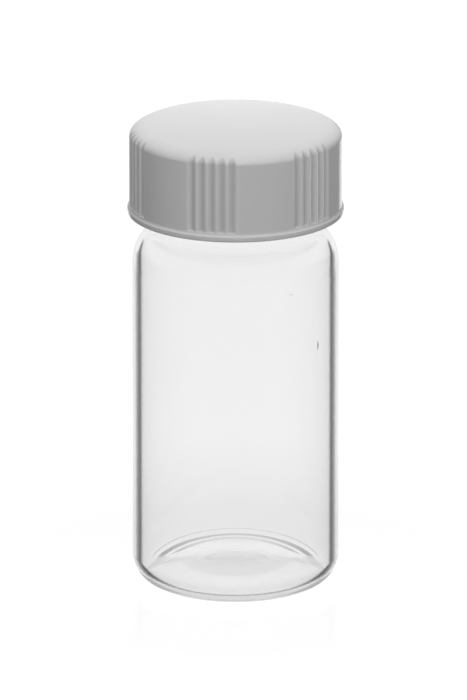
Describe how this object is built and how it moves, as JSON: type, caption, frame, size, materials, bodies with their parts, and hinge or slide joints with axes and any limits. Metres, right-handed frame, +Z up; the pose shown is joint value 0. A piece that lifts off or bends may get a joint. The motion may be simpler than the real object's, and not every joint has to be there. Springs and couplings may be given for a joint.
{
  "type": "glass sample vial",
  "caption": "Clear glass vial with a rounded heel and shoulder, a threaded neck and a fluted plastic screw cap with a sealing disc, for keeping a small sample.",
  "frame": {"origin": "centre of the foot ring, on the surface that the vial stands on", "axes": "+Z up along the axis of the vial; -Y towards the viewer of the picture"},
  "size_m": [0.0278, 0.0278, 0.0608],
  "materials": {
    "clear_glass": "clear and polished",
    "cap_plastic": "satin moulded off-white plastic",
    "liner_foam": "smooth pale foam sheet"
  },
  "bodies": {
    "vial": {"glass_vial": "clear_glass"},
    "liner": {"cap_liner": "liner_foam"},
    "cap": {"screw_cap": "cap_plastic"}
  },
  "joints": [
    {"name": "cap_lift", "type": "slide", "parent": "vial", "child": "liner", "axis": [0, 0, 1], "range_m": [0, 0.0127]},
    {"name": "cap_turn", "type": "hinge", "parent": "liner", "child": "cap", "pos_m": [0, 0, 0.055], "axis": [0, 0, 1], "range_deg": [0, 1440]}
  ],
  "couplings": [
    {"joint": "cap_lift", "follows": "cap_turn", "m_per_rad": 0.00050531}
  ]
}
